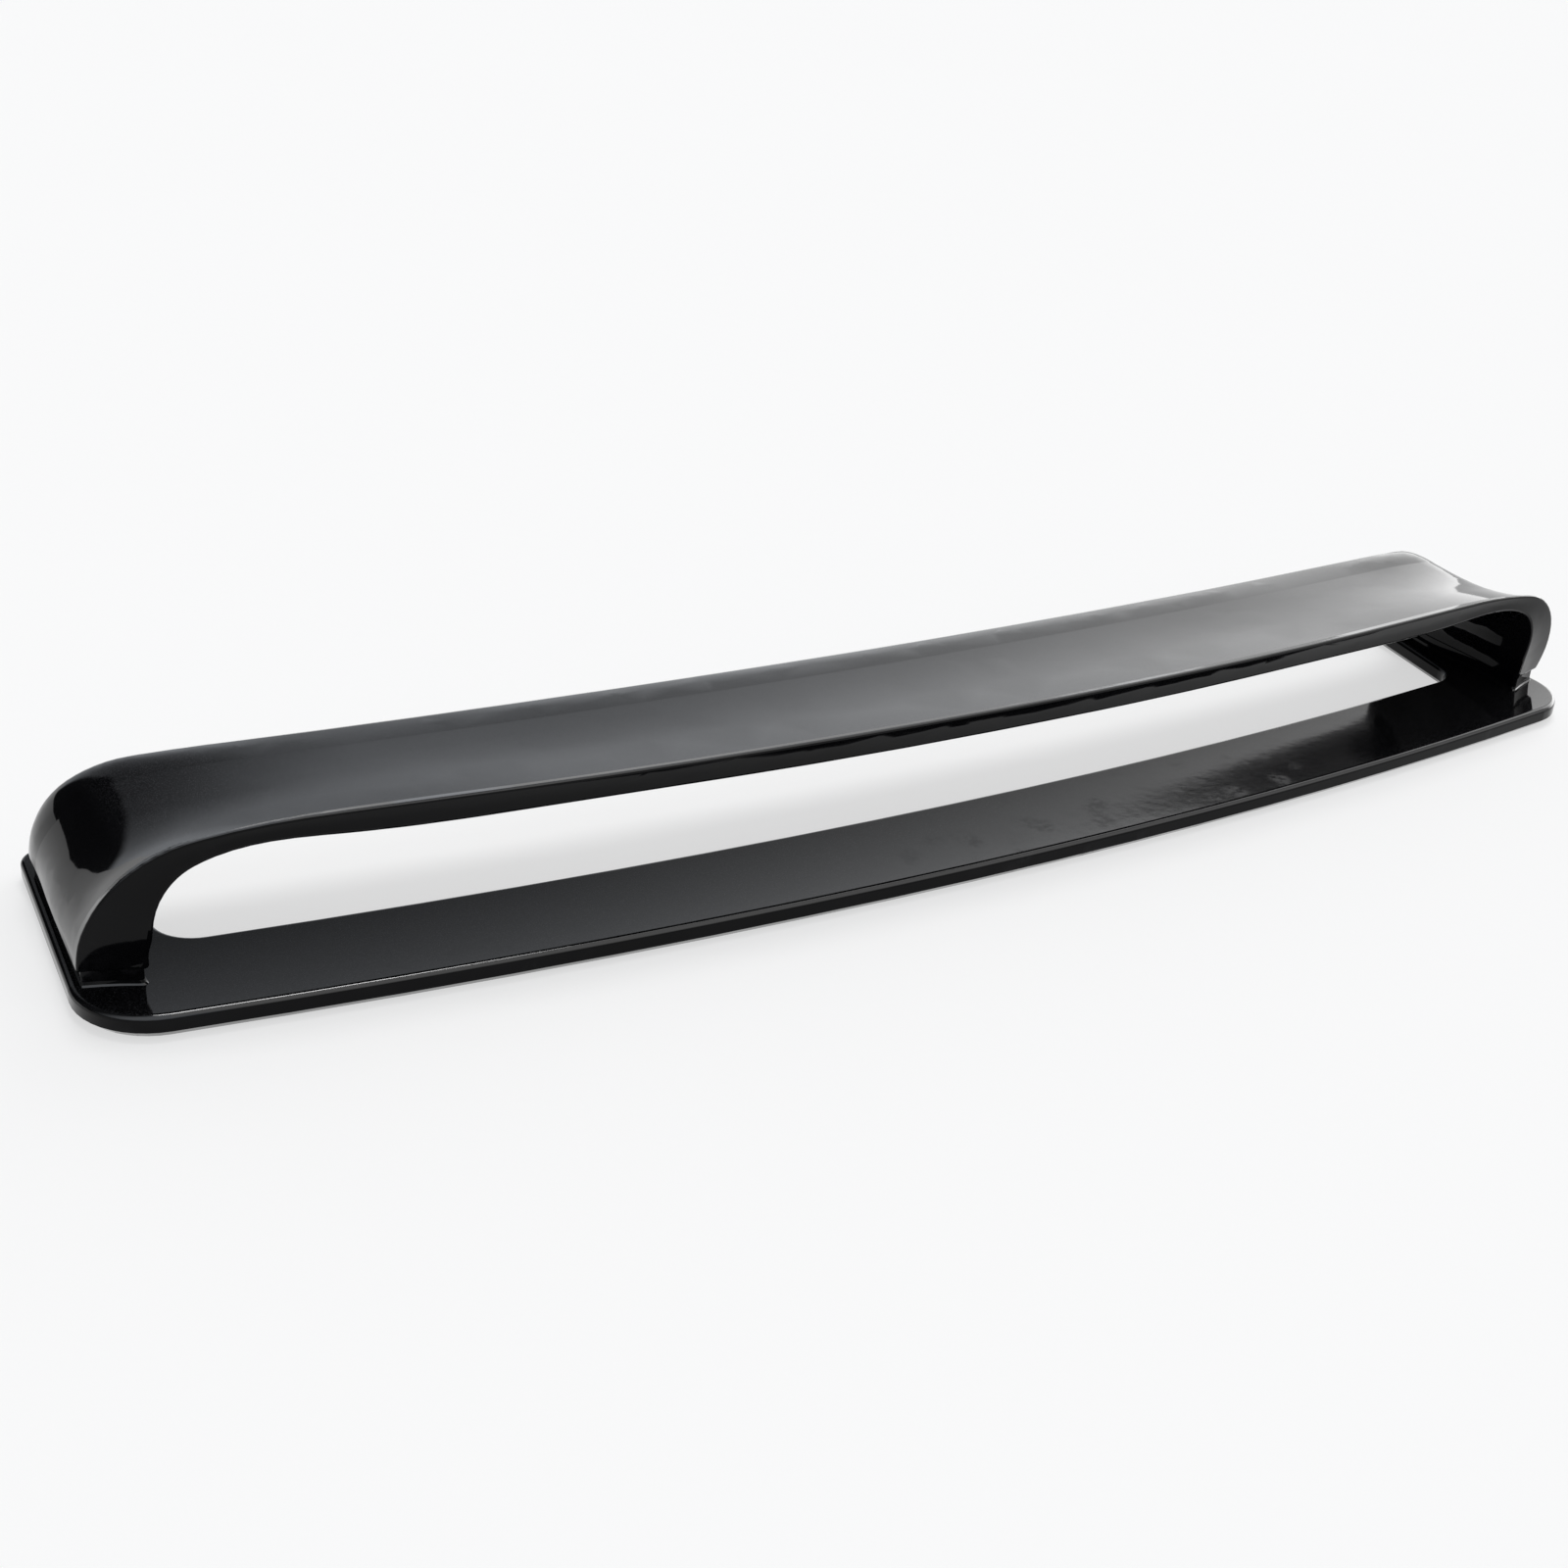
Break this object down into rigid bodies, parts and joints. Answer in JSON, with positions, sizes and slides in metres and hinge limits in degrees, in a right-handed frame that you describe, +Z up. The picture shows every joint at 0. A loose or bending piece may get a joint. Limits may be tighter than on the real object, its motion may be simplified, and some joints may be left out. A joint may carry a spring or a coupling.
{
  "type": "trunk spoiler",
  "caption": "Gloss black boot-lid spoiler: a swept wing with legs moulded on stands as a low hoop on a bowed blade-shaped base that bolts to the lid.",
  "frame": {"origin": "middle of the footprint, on the flat underside of the base", "axes": "+X across the car to the right seen from behind, +Y to the front of the car, +Z up"},
  "size_m": [1.25, 0.2723, 0.1233],
  "materials": {
    "gloss_black": "gloss black lacquer with faint finger smudges",
    "plated_steel": "zinc plated",
    "insert_brass": "turned"
  },
  "bodies": {
    "root": {"wing": "gloss_black", "base": "gloss_black", "wing_screws": "plated_steel", "wing_washers": "plated_steel", "wing_inserts": "insert_brass", "deck_inserts": "insert_brass"}
  },
  "joints": []
}
